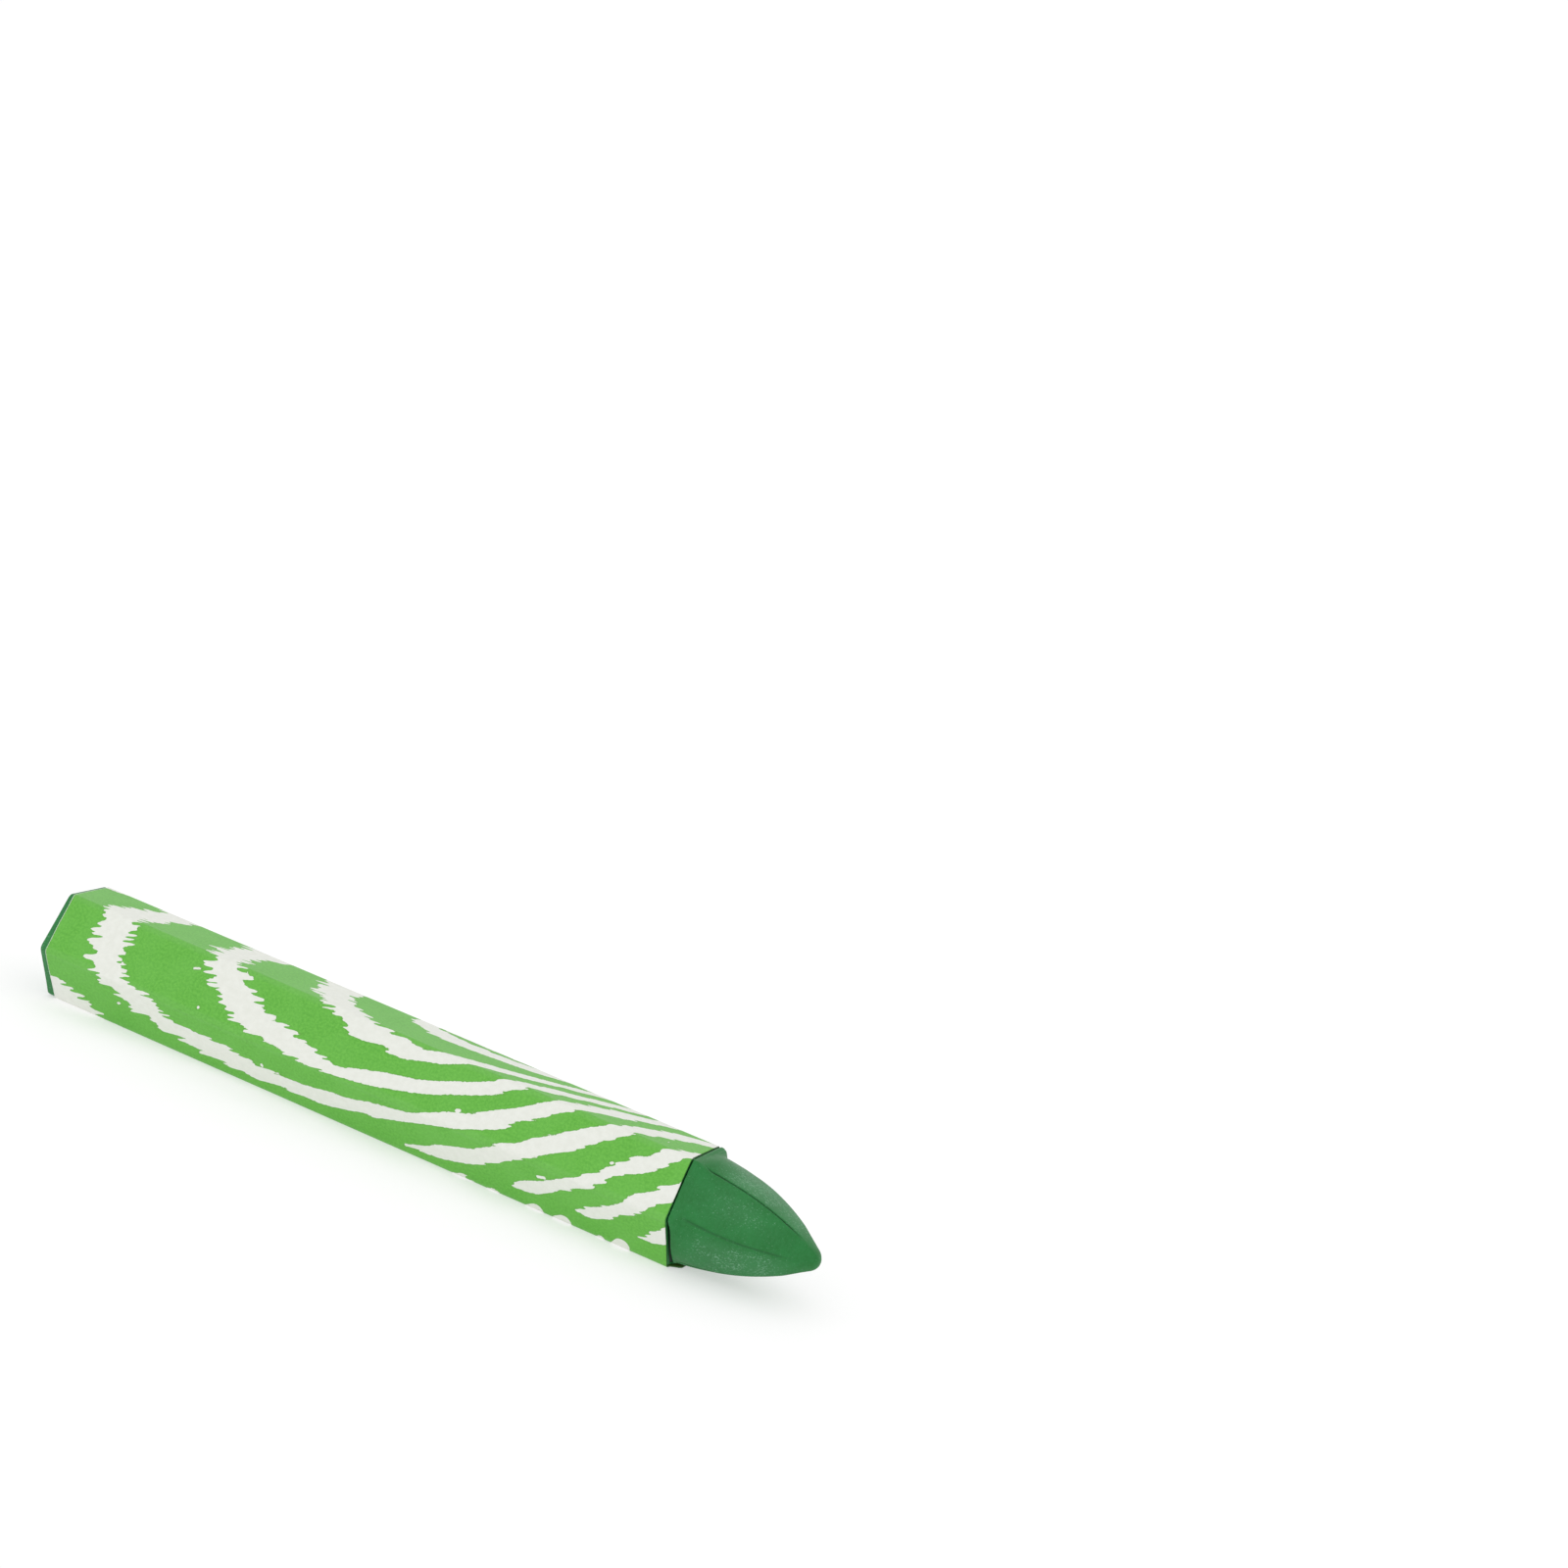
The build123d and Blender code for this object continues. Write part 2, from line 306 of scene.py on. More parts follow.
def fleck_distance(x, v):
    """Distance in mm to the nearest loose mark; negative inside one."""
    return nearest_stroke(x, v, [((*a, r), (*b, r)) for a, b, r in FLECKS])


# ---------------------------------------------------------------- label

LABEL_COLUMNS = 430
CUT_WANDER = 0.05       # how unevenly the label's two ends are cut
MEAN_SLACK = 0.012      # how far the paper stands off the wax
PRINTED, BARE, STAINED_AND_SHADED = range(3)       # material slots of the label


def label_line():
    """Samples across the label: rows of (flat number, s, share of the corner's turn, height over the wax)."""
    front = (1, 2, 3)
    rows = []
    for flat in range(7):
        low = LEAD_EDGE if flat == 0 else -FLAT_HALF
        high = TAIL_EDGE if flat == 6 else FLAT_HALF
        pitch = 0.2 if flat in front else 0.42
        s = np.linspace(low, high, int(math.ceil((high - low) / pitch)) + 1)
        lift = np.zeros_like(s)
        if flat == 0:
            lift = GLUE_T * (1 - smooth_step(SETTLE_AT, SETTLE_AT + STEP_RUN, s))
        if flat == 6:
            lift = (2 * GLUE_T + PAPER_T) * smooth_step(CLIMB_AT, CLIMB_AT + STEP_RUN, s)
        rows += [(flat, si, 0.0, li) for si, li in zip(s, lift)]
        if flat < 6:
            rows += [(flat, FLAT_HALF, share, 0.0) for share in np.arange(1, 6) / 6]
    return rows


def label_point(row, outside):
    """(y, z, v) of a label sample, on its outer or its inner face, with the axis at y = z = 0."""
    flat, s, share, lift = row
    angle = math.radians(SEAM_ANGLE + 60 * flat)
    lift += PAPER_T if outside else 0.0
    turn = angle + share * math.radians(60)
    centre_y = (WAX_APOTHEM - WAX_CORNER_R) * math.cos(angle) - s * math.sin(angle)
    centre_z = (WAX_APOTHEM - WAX_CORNER_R) * math.sin(angle) + s * math.cos(angle)
    reach = WAX_CORNER_R + lift
    bend = share * (FLAT_PITCH - 2 * FLAT_HALF)
    v = (flat - 0.5) * FLAT_PITCH + s + bend
    return centre_y + reach * math.cos(turn), centre_z + reach * math.sin(turn), v


def label_front_edge(v):
    """x of the label's front edge: it runs a little skew, and sticks out furthest underneath."""
    skew = smooth_step(6, 29, v) - 0.85 * smooth_step(33, 47, v)
    underneath = smooth_step(27.0, 28.6, v) * (1 - smooth_step(33, 46, v))
    return X_LABEL_END - 0.3 + 0.95 * skew + 1.3 * underneath


def label_back_edge(v):
    """x of the label's back edge, which runs a little skew as well."""
    skew = smooth_step(5, 30, v) + 0.55 * smooth_step(19, 27, v) - 1.35 * smooth_step(33, 47, v)
    return X_LABEL_START - 0.3 + 0.7 * skew


def outer_face_points(x, v, outer, inner):
    """Points of the printed face, which is a little slack over the wax."""
    normal = outer[:, :2] - inner[:, :2]
    normal /= np.linalg.norm(normal, axis=1)[:, None]
    slack = MEAN_SLACK * (1 + soft_noise(x / 9.0, np.broadcast_to(v[:, None], x.shape) / 5.0, 7.7))
    y = outer[:, :1] + normal[:, :1] * slack
    z = outer[:, 1:2] + normal[:, 1:2] * slack + AXIS_HEIGHT
    resting = (v > 3 * FLAT_PITCH) & (v < 4 * FLAT_PITCH)
    z[resting] = np.maximum(z[resting], 0.0)
    return np.stack([x, y, z], axis=2).reshape(-1, 3)


def inner_face_points(back, front, inner):
    """Points of the face on the wax, which needs only its back and front ends."""
    y = np.repeat(inner[:, :1], 2, axis=1)
    z = np.repeat(inner[:, 1:2], 2, axis=1) + AXIS_HEIGHT
    return np.stack([np.stack([back, front], axis=1), y, z], axis=2).reshape(-1, 3)


def label_faces(count):
    """Faces of the closed sheet with this many rows of points, and the material slot of each."""
    columns = LABEL_COLUMNS
    faces = []
    for i in range(count - 1):
        for j in range(columns - 1):
            a = i * columns + j
            faces.append((a, a + 1, a + columns + 1, a + columns))
    slots = [PRINTED] * len(faces)
    base = count * columns
    for i in range(count - 1):
        a, b = base + 2 * i, base + 2 * i + 2
        faces.append((a, b, b + 1, a + 1))
        faces.append((i * columns, (i + 1) * columns, b, a))
        faces.append(((i + 1) * columns - 1, a + 1, b + 1, (i + 2) * columns - 1))
        slots += [BARE, BARE, STAINED_AND_SHADED]
    last = (count - 1) * columns
    faces.append(tuple(range(columns - 1, -1, -1)) + (base, base + 1))
    faces.append(tuple(range(last, last + columns)) + (base + 2 * count - 1, base + 2 * count - 2))
    slots += [BARE, BARE]
    return faces, slots


def store_print(label, rows, x, v, back, front):
    """Saves the print's distances, and the place on the unrolled label, for the materials to read."""
    from_butt = x - X_BUTT
    v_grid = np.broadcast_to(v[:, None], x.shape)
    unprinted = np.full(2 * len(rows), REACH)
    for name, values in (
        ("band", band_distance(from_butt, v_grid)),
        ("band_slope", band_slope(from_butt, v_grid)),
        ("fleck", fleck_distance(from_butt, v_grid)),
        ("from_cut", x - back[:, None]),
        ("corner", np.broadcast_to(corner_share(rows)[:, None], x.shape)),
    ):
        store(label, name, np.concatenate([values.ravel(), unprinted]))
    inner_x = np.stack([back, front], axis=1) - X_BUTT
    inner_v = np.stack([v, v], axis=1)
    outer_at = np.stack([from_butt, v_grid, 0 * x], axis=2).reshape(-1, 3)
    inner_at = np.stack([inner_x, inner_v, 0 * inner_v], axis=2).reshape(-1, 3)
    store(label, "label_at", np.vstack([outer_at, inner_at]))


def make_label():
    rows = label_line()
    outer = np.array([label_point(row, True) for row in rows])
    inner = np.array([label_point(row, False) for row in rows])
    v = outer[:, 2]
    wander = CUT_WANDER * soft_noise(v / 3.0, v * 0, 3.1)
    back, front = label_back_edge(v) + wander, label_front_edge(v) - wander
    x = back[:, None] + (front - back)[:, None] * np.linspace(0, 1, LABEL_COLUMNS)
    points = [outer_face_points(x, v, outer, inner), inner_face_points(back, front, inner)]
    faces, slots = label_faces(len(rows))
    label = new_mesh_object("printed_label", np.vstack(points), faces)
    store_print(label, rows, x, v, back, front)
    for material in (printed_paper_material(), bare_paper_material(), stained_and_shaded_edge_material()):
        label.data.materials.append(material)
    label.data.polygons.foreach_set("material_index", slots)
    label.data.polygons.foreach_set("use_smooth", [slot == PRINTED for slot in slots])
    return label


def corner_share(rows):
    """1 on a corner of the hexagon, falling to 0 within the flat beside it."""
    closeness = []
    for flat, s, share, lift in rows:
        from_corner = 0.0 if share else FLAT_HALF - abs(s)
        closeness.append(float(1 - smooth_step(0.0, 0.5, from_corner)))
    return np.array(closeness)


def printed_paper_material():
    """Pale paper with green ink everywhere but on the bands and the loose marks."""
    m = Nodes("printed_label_paper")
    at = m.attribute("label_at", "Vector")
    # the print's edges are drawn out along the grain into fingers: the root gives them round ends
    across = m.math("SUBTRACT", m.noise(m.mapped(at, (8.0, 0.62, 1), GRAIN_ANGLE), 1.0, 0.0), 0.5)
    fingers = m.math("MULTIPLY", m.math("SIGN", across), m.math("SQRT", m.math("ABSOLUTE", across)))
    length = m.noise(m.mapped(at, (9.0, 1.6, 1), GRAIN_ANGLE, (31, 17, 0)), 1.0, 1.0)
    length = m.ramp(length, 0.35, 0.65, 0.9, 3.4)
    thin_fingers = m.noise(m.mapped(at, (3.0, 0.4, 1), GRAIN_ANGLE, (5, 9, 0)), 1.0, 0.0)
    thin_fingers = m.ramp(thin_fingers, 0.42, 0.58, -0.13, 0.13)
    along = m.node("ShaderNodeSeparateXYZ", {"Vector": at}).outputs["X"]
    reach = m.ramp(along, 25, 62, 1.0, 0.5)
    shift = m.math("MULTIPLY", m.math("ADD", m.math("MULTIPLY", fingers, length), thin_fingers), reach)
    ragged = m.math("MULTIPLY", shift, m.attribute("band_slope"))
    wobble = m.swing(m.noise(at, 1.5, 1.0), 0.35)
    band = m.math("ADD", m.math("ADD", m.attribute("band"), ragged), wobble)
    fuzz = m.swing(m.noise(at, 5.0, 2.0), 0.16)
    edge = m.math("ADD", m.math("MINIMUM", band, m.attribute("fleck")), fuzz)
    inked = m.ramp(edge, -0.04, 0.04)
    # a hairline of bare paper along the back cut
    inked = m.math("MULTIPLY", inked, m.ramp(m.math("ADD", m.attribute("from_cut"), fuzz), 0.0, 0.12))

    # mottled ink, a little paler on the corners and darker beside the bare paper
    mottle = m.noise(at, 2.6, 3.0, 0.7)
    patches = m.noise(at, 0.22, 2.0)
    ink = m.mix(m.ramp(mottle, 0.3, 0.72), (0.080, 0.370, 0.020, 1), (0.128, 0.470, 0.042, 1))
    ink = m.mix(m.ramp(patches, 0.35, 0.65, 0.0, 0.3), ink, (0.135, 0.47, 0.055, 1))
    ink = m.mix(m.math("MULTIPLY", m.attribute("corner"), 0.05), ink, (0.42, 0.62, 0.36, 1))
    beside_paper = m.math("MULTIPLY", m.ramp(edge, 0.04, 0.2, 1.0, 0.0), 0.4)
    ink = m.mix(beside_paper, ink, (0.085, 0.27, 0.018, 1))
    cloudy = m.noise(at, 1.1, 4.0, 0.6)
    paper = m.mix(m.ramp(cloudy, 0.25, 0.75), (0.735, 0.75, 0.69, 1), (0.785, 0.80, 0.745, 1))
    m.set(Base_Color=m.mix(inked, paper, ink))
    m.set(Roughness=m.ramp(inked, 0, 1, 0.85, 0.42))
    fibres = m.noise(m.mapped(at, (1.0, 0.5, 1)), 7.0, 3.0, 0.65)
    height = m.math("ADD", fibres, m.math("MULTIPLY", inked, 0.3))
    m.bump(height, 0.15, 0.00003)
    return m.material


def bare_paper_material():
    """Unprinted side and cut edges of the paper, darkened close to the tip partly as a wax stain and partly
    as painted shade.
    """
    m = Nodes("bare_label_paper")
    at = m.attribute("label_at", "Vector")
    speckle = m.noise(at, 6.0, 3.0, 0.6)
    colour = m.mix(speckle, (0.70, 0.71, 0.62, 1), (0.80, 0.81, 0.74, 1))
    along = m.node("ShaderNodeSeparateXYZ", {"Vector": at}).outputs["X"]
    # darker close to the tip: wax stain and painted shade
    colour = m.mix(m.ramp(along, 100.2, 101.0), colour, (0.12, 0.27, 0.035, 1))
    m.set(Base_Color=colour, Roughness=0.9)
    m.bump(speckle, 0.2, 0.00002)
    return m.material


def stained_and_shaded_edge_material():
    """Cut edge of the paper beside the tip, dark partly with wax and partly with painted shade."""
    m = Nodes("wax_stained_and_shaded_paper_edge")
    speckle = m.noise(m.attribute("label_at", "Vector"), 4.0, 3.0, 0.6)
    # dark green: a wax stain and painted shade on the cut edge
    m.set(Base_Color=m.mix(speckle, (0.008, 0.075, 0.012, 1), (0.05, 0.17, 0.03, 1)), Roughness=0.6)
    m.bump(speckle, 0.2, 0.00002)
    return m.material


# ---------------------------------------------------------------- wax stick

OGIVE_BASE_R, OGIVE_ARC_R, OGIVE_SLOPE = 7.53, 33.0, math.radians(3)
FACET_SINK = 0.075      # how far the middle of a facet lies inside its corners, as a share of them
BUTT_SLANT = 0.35       # how much further in the butt's foot lies than its top
WORN_R = 0.35           # how much rounder the shank's edges are at the butt
HALF_TURN = math.radians(30)        # from the middle of a flat to its corner


def tip_share(x):
    """0 at the collar's front and 1 at the nose."""
    return (x - X_COLLAR_FRONT) / (X_NOSE - X_COLLAR_FRONT)


def nose_shape():
    """(radius, centre x, x of the join) of the round nose that meets the ogive arc smoothly."""
    drop = OGIVE_ARC_R * math.cos(OGIVE_SLOPE) - OGIVE_BASE_R
    lead = X_NOSE - X_COLLAR_FRONT + OGIVE_ARC_R * math.sin(OGIVE_SLOPE)
    radius = (OGIVE_ARC_R**2 - drop**2 - lead**2) / (2 * (OGIVE_ARC_R - lead))
    centre = X_NOSE - radius
    return radius, centre, centre + radius * math.cos(math.atan2(drop, lead - radius))


def ogive_r(x):
    """Radius of the turned ogive and its round nose."""
    radius, centre, join = nose_shape()
    if x >= join:
        return math.sqrt(max(radius**2 - (x - centre) ** 2, 0))
    along = x - X_COLLAR_FRONT + OGIVE_ARC_R * math.sin(OGIVE_SLOPE)
    return OGIVE_BASE_R - OGIVE_ARC_R * math.cos(OGIVE_SLOPE) + math.sqrt(OGIVE_ARC_R**2 - along**2)


def hexagon_r(turn, apothem, corner_r):
    """Polar radius of a rounded hexagon; turn is the angle from the nearest flat's normal."""
    turn = abs(turn)
    reach = (apothem - corner_r) / math.cos(HALF_TURN)
    if math.tan(turn) * apothem <= (apothem - corner_r) * math.tan(HALF_TURN):
        return apothem / math.cos(turn)
    off = HALF_TURN - turn
    return reach * math.cos(off) + math.sqrt(max(corner_r**2 - (reach * math.sin(off)) ** 2, 0))


# Where each crease lies beside its corner of the hexagon, in degrees, at the collar and at the nose
CREASES = {0: (-2, 2), 60: (3, -1), 120: (-3.5, -1.2), 180: (-6, 1.5), 240: (-3, 2), 300: (2, -2)}
CREASE_WIDTH = {0: 0.2, 60: 0.15, 120: 0.12, 180: 0.26, 240: 0.22, 300: 0.17}
CREASE_DEPTH = {0: 0.2, 60: 0.26, 120: 0.3, 180: 0.17, 240: 0.2, 300: 0.24}
# Where the collar's corners run down into the ogive: (start, end) ahead of the label
COLLAR_RUN = {
    0: (0.5, 2.2), 60: (0.75, 1.6), 120: (0.2, 2.7),
    180: (0.2, 2.6), 240: (0.1, 1.7), 300: (0.6, 1.8),
}
NOSE_DROOP = 0.28       # how far the ogive's axis has sunk at the nose
BUTT_RINGS = (0.985, 0.9, 0.8, 0.7, 0.6, 0.5, 0.4, 0.3, 0.2, 0.1)
BUTT_BLOOM = 0.6


def crease_dip(x, angle, radius):
    """Depth in mm of the creases at this place."""
    share = tip_share(x)
    fade = float(smooth_step(-0.02, 0.1, share) * (1 - smooth_step(0.7, 0.92, share)))
    if fade <= 0:
        return 0.0
    dip = 0.0
    for corner, (at_collar, at_nose) in CREASES.items():
        middle = corner + at_nose + (at_collar - at_nose) * (1 - share) ** 3
        off = (angle - middle + 180) % 360 - 180
        if abs(off) < 20:
            across = math.radians(off) * radius / CREASE_WIDTH[corner]
            dip += CREASE_DEPTH[corner] * math.exp(-across * across)
    return dip * fade


def around_label(angle):
    """The label's v, in a direction given in degrees from +Y."""
    return ((angle - 60) / 60 * FLAT_PITCH) % (6 * FLAT_PITCH)


def crevice(x, angle):
    """(share of the full depth, depth) of the gap between the label's front edge and the collar."""
    v = around_label(angle)
    lower = float(smooth_step(17, 19.5, v) * (1 - smooth_step(27, 30, v)))
    half_gap = 0.1 + 0.18 * lower
    across = (x - float(label_front_edge(v)) - half_gap) / half_gap
    return math.sqrt(max(1 - across**2, 0)), 0.45 + 0.25 * lower


def flash_bead(x, angle):
    """Height of the bead of flash along the collar, highest at the top back corner."""
    v = around_label(angle)
    turned = v if v < 40 else v - 6 * FLAT_PITCH
    over_top = float(smooth_step(-4, -1, turned) * (1 - smooth_step(1, 9.0, turned)))
    ahead = x - float(label_front_edge(v))
    rise = max(1 - ((ahead - 0.5) / 0.42) ** 2, 0) ** 2
    dip = max(1 - ((ahead - 1.0) / 0.14) ** 2, 0) ** 2
    return over_top * (0.2 * rise - 0.04 * dip)


def tip_section_r(x, turn):
    """Radius of the tip's section: six slightly crowned facets that meet at the corners."""
    share = tip_share(x)
    belly = 0.018 * math.sin(math.pi * min(share, 1)) ** 2
    slimmer_nose = 0.11 * float(smooth_step(0.76, 0.96, share))
    corner = ogive_r(x) * (1.014 + belly - slimmer_nose)
    flattest = float(smooth_step(0.02, 0.3, share) * (1 - 0.6 * smooth_step(0.8, 1.0, share)))
    facet = corner * (1 - 0.013 - FACET_SINK * flattest)
    squeeze = math.acos(facet / corner) / HALF_TURN
    return facet / math.cos(turn * squeeze)


def wax_r(x, angle):
    """Radius of the wax at x, in a direction given in degrees from +Y."""
    turn = math.radians((angle % 60) - 30)
    worn = WORN_R * (1 - float(smooth_step(0, 1.0, x - X_BUTT)))
    shank = hexagon_r(turn, WAX_APOTHEM, WAX_CORNER_R + worn)
    share, depth = crevice(x, angle)
    shank += flash_bead(x, angle) - share * depth
    if x < X_LABEL_END - 0.5:
        return shank
    tip = tip_section_r(max(x, X_COLLAR_FRONT), turn)
    tip -= crease_dip(x, angle, max(tip, 0.5))
    nearest_corner = round(angle / 60) * 60 % 360
    start, end = COLLAR_RUN[nearest_corner]
    blend = float(smooth_step(X_LABEL_END + start, X_LABEL_END + end, x))
    return shank + (tip - shank) * blend


def wax_stations():
    """x of each ring, close together where the surface turns."""
    nose_r, nose_x, join = nose_shape()
    turned = (12, 25, 38, 50, 62, 75, 90)
    rounding = [X_BUTT + BUTT_EDGE_R * (1 - math.cos(math.radians(a))) for a in turned]
    shank = list(np.linspace(X_BUTT + BUTT_EDGE_R + 0.15, X_LABEL_START + 1.0, 6))
    shank += list(np.linspace(-50, 38, 9))
    neck = list(np.arange(X_LABEL_END - 0.5, X_COLLAR_FRONT + 1.6, 0.055))
    ogive = list(np.arange(neck[-1] + 0.13, join, 0.13))
    last = math.acos((ogive[-1] - nose_x) / nose_r)
    nose = [nose_x + nose_r * math.cos(last * k) for k in np.linspace(0.95, 0.04, 16)]
    return rounding + shank + neck + ogive + nose


def wax_angles():
    """Directions of the samples round a ring, close together near the corners."""
    half = list(np.arange(0.5, 8, 0.5)) + list(np.arange(8, 30, 2.2))
    angles = []
    for corner in range(0, 360, 60):
        angles += [corner - a for a in reversed(half)] + [corner] + [corner + a for a in half]
    return angles


def bloom_and_sheen_share(x, angle):
    """How thickly the pale bloom lies, from 0 to 1, mostly on the tip's lower facet, with a painted sheen on
    the tip's top facet.
    """
    angle = angle % 360
    below = math.exp(-(((x - 50.5) / 6.5) ** 4)) * math.exp(-(((angle - 213) / 27) ** 4))
    front = 0.5 * math.exp(-(((x - 49.0) / 4.5) ** 2)) * math.exp(-(((angle - 142) / 19) ** 2))
    back = 0.6 * math.exp(-(((x - 49) / 6.0) ** 2)) * math.exp(-(((angle - 345) / 35) ** 2))
    # painted sheen: the tip's top facet is lightened as if it caught a broad highlight
    top = float(smooth_step(41, 48, x)) * 0.75 * math.exp(-(((angle - 90) / 27) ** 6))
    rim = 0.35 * (1 - float(smooth_step(X_BUTT + 0.8, X_BUTT + 1.6, x)))
    short_of_nose = 1 - float(smooth_step(55.0, 59.0, x))
    return min(1.0, 0.18 + short_of_nose * (0.7 * below + front + back + top) + rim)


def butt_skew(z):
    """How far the butt face lies inside X_BUTT at this height over the axis: its foot is furthest in."""
    return BUTT_SLANT * float(smooth_step(1.0, -WAX_APOTHEM, z))


def butt_round_in(x):
    """How far the rounding round the butt face lies inside the shank."""
    if x >= X_BUTT + BUTT_EDGE_R:
        return 0.0
    return BUTT_EDGE_R - math.sqrt(BUTT_EDGE_R**2 - (BUTT_EDGE_R - (x - X_BUTT)) ** 2)


def wax_point(x, angle):
    """(radius, point) of the wax at x, with its ripple, the slant of its butt and its sunk nose."""
    a = math.radians(angle)
    along_tip = max(0.0, tip_share(x))
    r = wax_r(x, angle) - butt_round_in(x)
    ripple = 0.02 * noise.noise(Vector((x / 3.0, r * math.cos(a) / 3.0, r * math.sin(a) / 3.0)))
    r += ripple * min(1.0, along_tip * 6)
    y, z = r * math.cos(a), r * math.sin(a)
    at_butt = 1 - float(smooth_step(X_BUTT, X_BUTT + 0.8, x))
    return r, (x + at_butt * butt_skew(z), y, z + AXIS_HEIGHT - NOSE_DROOP * along_tip**3)


def butt_face_points(angles, rim):
    """Rings of the dished butt face from its edge inwards; rim is the radius of its edge by angle."""
    points = []
    for shrink in BUTT_RINGS:
        dish = BUTT_DISH * (1 - float(smooth_step(0.1, 0.95, shrink)))
        for angle, r in zip(angles, rim):
            a = math.radians(angle)
            y, z = shrink * r * math.cos(a), shrink * r * math.sin(a)
            points.append((X_BUTT + dish + butt_skew(z), y, z + AXIS_HEIGHT))
    return points


def wax_faces(ring_starts, around, butt_centre, nose_point):
    """Faces between the rings, which start at these points, and the fans that close both ends."""
    faces = []
    for low, high in zip(ring_starts, ring_starts[1:]):
        for j in range(around):
            k = (j + 1) % around
            faces.append((low + j, low + k, high + k, high + j))
    for j in range(around):
        k = (j + 1) % around
        faces.append((butt_centre, ring_starts[0] + k, ring_starts[0] + j))
        faces.append((nose_point, ring_starts[-1] + j, ring_starts[-1] + k))
    return faces


def make_wax():
    angles = wax_angles()
    around = len(angles)
    points = []
    bloom_and_sheen = []
    crease_and_gap_shade = []
    for x in wax_stations():
        for angle in angles:
            r, point = wax_point(x, angle)
            points.append(point)
            bloom_and_sheen.append(bloom_and_sheen_share(x, angle))
            # painted shade for the crevice and the creases, darkest where they are deepest
            crease_and_gap_shade.append(max(crevice(x, angle)[0], 2.2 * crease_dip(x, angle, max(r, 0.5))))
    side = len(points)
    rim = [math.hypot(y, z - AXIS_HEIGHT) for x, y, z in points[:around]]
    points += butt_face_points(angles, rim)
    ring_starts = list(reversed(range(side, len(points), around))) + list(range(0, side, around))
    butt_centre, nose_point = len(points), len(points) + 1
    points.append((X_BUTT + BUTT_DISH, 0, AXIS_HEIGHT))
    points.append((X_NOSE, 0, AXIS_HEIGHT - NOSE_DROOP))
    wax = new_mesh_object("wax_core", points, wax_faces(ring_starts, around, butt_centre, nose_point))
    ends = len(points) - side
    store(wax, "bloom_and_sheen", bloom_and_sheen + [BUTT_BLOOM] * ends)
    store(wax, "crease_and_gap_shade", crease_and_gap_shade + [0.0] * ends)
    wax.data.materials.append(wax_material())
    return wax


def wax_material():
    """Dull green wax, cloudy and finely grained, with pale bloom, a painted sheen on the tip's top facet and
    painted shade in the creases.
    """
    m = Nodes("green_marking_wax")
    at = m.node("ShaderNodeTexCoord").outputs["Object"]
    mm = m.mapped(at, (MM, MM, MM))
    cloud = m.noise(mm, 0.3, 3.0, 0.55)
    grain = m.noise(mm, 2.2, 4.0, 0.7)
    colour = m.mix(m.ramp(cloud, 0.35, 0.68), (0.004, 0.134, 0.017, 1), (0.007, 0.163, 0.026, 1))
    colour = m.mix(m.ramp(grain, 0.35, 0.75, 0.0, 0.55), colour, (0.018, 0.19, 0.046, 1))
    # fine lines round the tip, pale bloom as broken scuffs, and a pale veil that follows the bloom and is a
    # painted sheen on the tip's top facet
    lines = m.noise(m.mapped(mm, (0.14, 0.7, 0.7)), 1.0, 2.0, 0.6)
    colour = m.mix(m.ramp(lines, 0.35, 0.7, 0.0, 0.22), colour, (0.03, 0.215, 0.06, 1))
    scuffs = m.noise(m.mapped(mm, (0.3, 0.19, 0.19)), 1.0, 2.0, 0.65)
    patches = m.ramp(m.noise(mm, 0.55, 2.0), 0.3, 0.62, 0.45, 1.25)
    patchy = m.math("MULTIPLY", m.attribute("bloom_and_sheen"), patches)
    threshold = m.ramp(patchy, 0.0, 1.0, 0.66, 0.49, smooth=False)
    scuff = m.ramp(m.math("SUBTRACT", scuffs, threshold), 0.0, 0.18)
    # the veil is partly bloom and partly painted sheen
    veil = m.math("MULTIPLY", m.attribute("bloom_and_sheen"), 0.22)
    bloom_and_sheen = m.math("ADD", m.math("MULTIPLY", scuff, 0.85), veil)
    colour = m.mix(bloom_and_sheen, colour, (0.13, 0.33, 0.18, 1))
    dark = m.ramp(m.math("ADD", m.attribute("crease_and_gap_shade"), m.swing(grain, 0.4)), 0.05, 0.95)
    colour = m.mix(dark, colour, (0.001, 0.012, 0.004, 1))      # painted shade in the creases and the crevice
    m.set(Base_Color=colour, Specular_IOR_Level=0.25)
    m.set(Roughness=m.ramp(grain, 0.3, 0.7, 0.34, 0.48))
    height = m.math("ADD", grain, m.math("ADD", m.math("MULTIPLY", lines, 0.4), scuff))
    m.bump(height, 0.22, 0.00006)
    return m.material


# ---------------------------------------------------------------- paste

def paste_material():
    """Dried paste, streaky along the crayon."""
    m = Nodes("dried_label_paste")
    at = m.node("ShaderNodeTexCoord").outputs["Object"]
    streaks = m.noise(m.mapped(at, (3 * MM, 0.5 * MM, 0.5 * MM)), 1.5, 4.0, 0.6)
    m.set(Base_Color=m.mix(streaks, (0.62, 0.56, 0.40, 1), (0.78, 0.74, 0.60, 1)))
    m.set(Roughness=m.ramp(streaks, 0.3, 0.7, 0.35, 0.6))
    m.bump(streaks, 0.2, 0.00003)
    return m.material


# ---------------------------------------------------------------- stage, light and camera

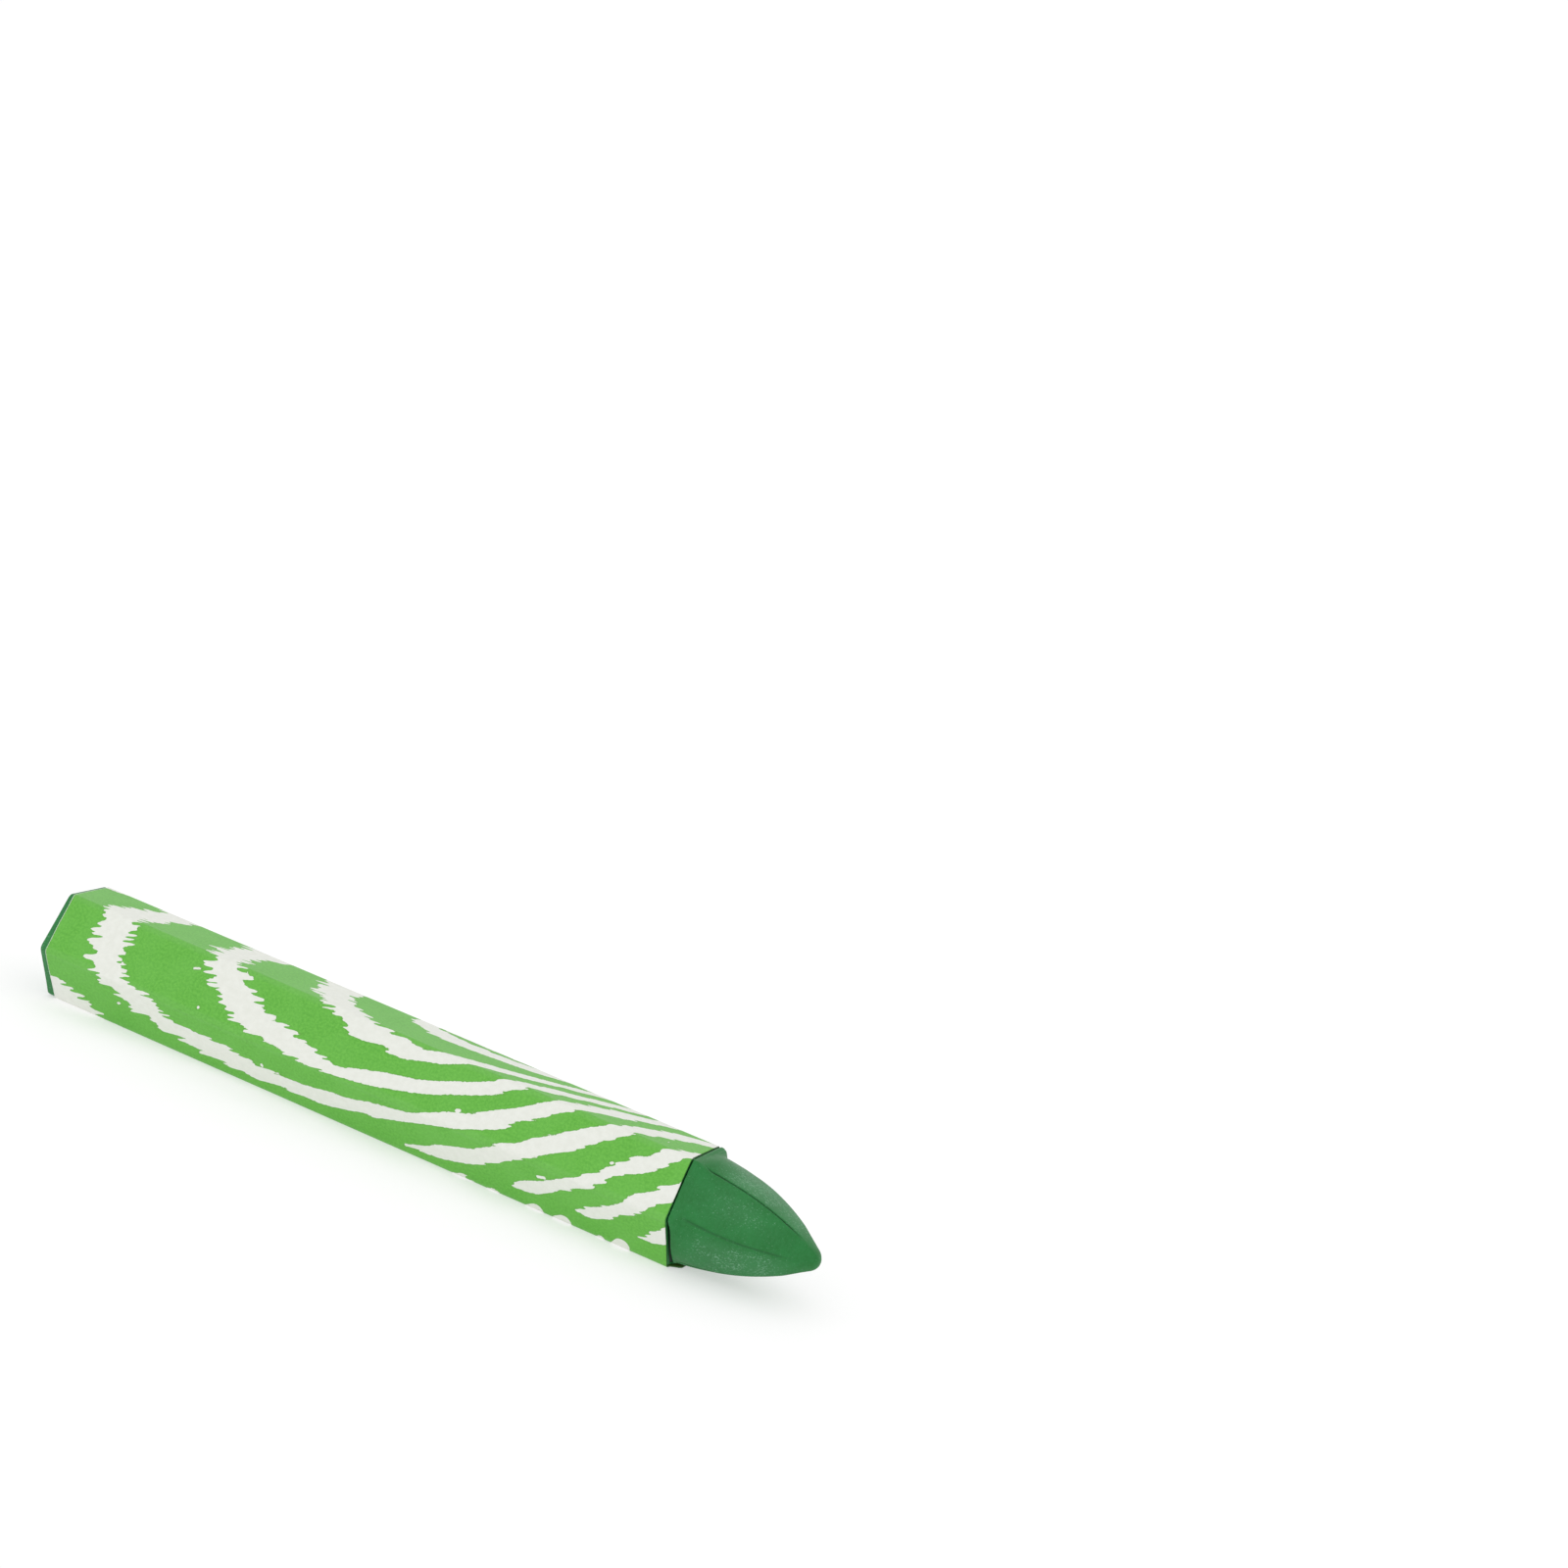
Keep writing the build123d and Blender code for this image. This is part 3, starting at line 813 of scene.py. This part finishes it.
def make_floor():
    """Pale floor, lit softly from below, that sweeps up far away so that no horizon shows."""
    flat_r, sweep_r, rise = 0.9, 3.2, 1.7
    radii = [0.02, 0.3, 0.6, flat_r] + [flat_r + (sweep_r - flat_r) * k / 16 for k in range(1, 17)]
    steps = 96
    points = [(0, 0, 0)]
    for r in radii:
        climb = max(0.0, (r - flat_r) / (sweep_r - flat_r))
        for k in range(steps):
            a = 2 * math.pi * k / steps
            points.append((r * math.cos(a) / MM, r * math.sin(a) / MM, rise * climb**2.5 / MM))
    faces = [(0, 1 + k, 1 + (k + 1) % steps) for k in range(steps)]
    for ring in range(len(radii) - 1):
        for k in range(steps):
            a, b = 1 + ring * steps + k, 1 + ring * steps + (k + 1) % steps
            faces.append((a, a + steps, b + steps, b))
    floor = new_mesh_object("studio_floor", points, faces)
    m = Nodes("pale_floor")
    tint = m.noise(m.node("ShaderNodeTexCoord").outputs["Object"], 3.0, 2.0)
    m.set(Base_Color=m.mix(tint, (0.51, 0.51, 0.51, 1), (0.52, 0.52, 0.52, 1)), Roughness=0.95)
    m.set(Specular_IOR_Level=0.1)
    m.set(Emission_Color=(1, 1, 1, 1), Emission_Strength=0.5)
    floor.data.materials.append(m.material)
    return floor


def make_light(name, azimuth, elevation, distance, size, power):
    """Square soft light aimed at the crayon's middle; azimuth 0 is in front, on the -Y side."""
    data = bpy.data.lights.new(name, "AREA")
    data.size, data.energy = size, power
    light = bpy.data.objects.new(name, data)
    bpy.context.scene.collection.objects.link(light)
    a, e = math.radians(azimuth), math.radians(elevation)
    away = Vector((math.sin(a) * math.cos(e), -math.cos(a) * math.cos(e), math.sin(e)))
    light.location = away * distance + Vector((0, 0, AXIS_HEIGHT * MM))
    light.rotation_euler = away.to_track_quat("Z", "Y").to_euler()
    return light


def make_world(strength):
    """Even white light from all round."""
    world = bpy.data.worlds.new("soft_studio")
    world.use_nodes = True
    background = world.node_tree.nodes["Background"]
    background.inputs["Color"].default_value = (1, 1, 1, 1)
    background.inputs["Strength"].default_value = strength
    bpy.context.scene.world = world


def make_camera():
    """Stands before the crayon's tip half, a little above it, rolled so that the crayon slopes."""
    look_azimuth, look_elevation, roll = (math.radians(a) for a in (20.67, 12.23, 16.29))
    data = bpy.data.cameras.new("photo_camera")
    data.sensor_width = 36
    data.lens = 80.92
    data.clip_start, data.clip_end = 0.01, 20
    camera = bpy.data.objects.new("photo_camera", data)
    bpy.context.scene.collection.objects.link(camera)
    camera.location = Vector((193.14, -415.24, 161.65)) * MM
    level = math.cos(look_elevation)
    backwards = Vector((
        math.sin(look_azimuth) * level,
        -math.cos(look_azimuth) * level,
        math.sin(look_elevation),
    ))
    right = Vector((0, 0, 1)).cross(backwards).normalized()
    up = backwards.cross(right)
    level_frame = Matrix((right, up, backwards)).transposed()
    camera.rotation_euler = (level_frame @ Matrix.Rotation(roll, 3, "Z")).to_euler()
    bpy.context.scene.camera = camera


label = make_label()
wax = make_wax()
for piece, node, slot in ((label, "paper_wrapper", "label_paper"), (wax, "wax_stick", "wax")):
    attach(piece, "root")
    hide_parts(node)
paste = paste_material()
for node in ("pickup_glue", "lap_glue"):
    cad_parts[node].data.materials.clear()
    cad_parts[node].data.materials.append(paste)

make_floor()
make_world(strength=0.97)
make_light("key_light", azimuth=-35, elevation=50, distance=1.4, size=1.6, power=1.4)
make_light("low_front_fill", azimuth=15, elevation=8, distance=1.3, size=1.6, power=1.5)
make_camera()
bpy.context.scene.view_settings.view_transform = "Standard"
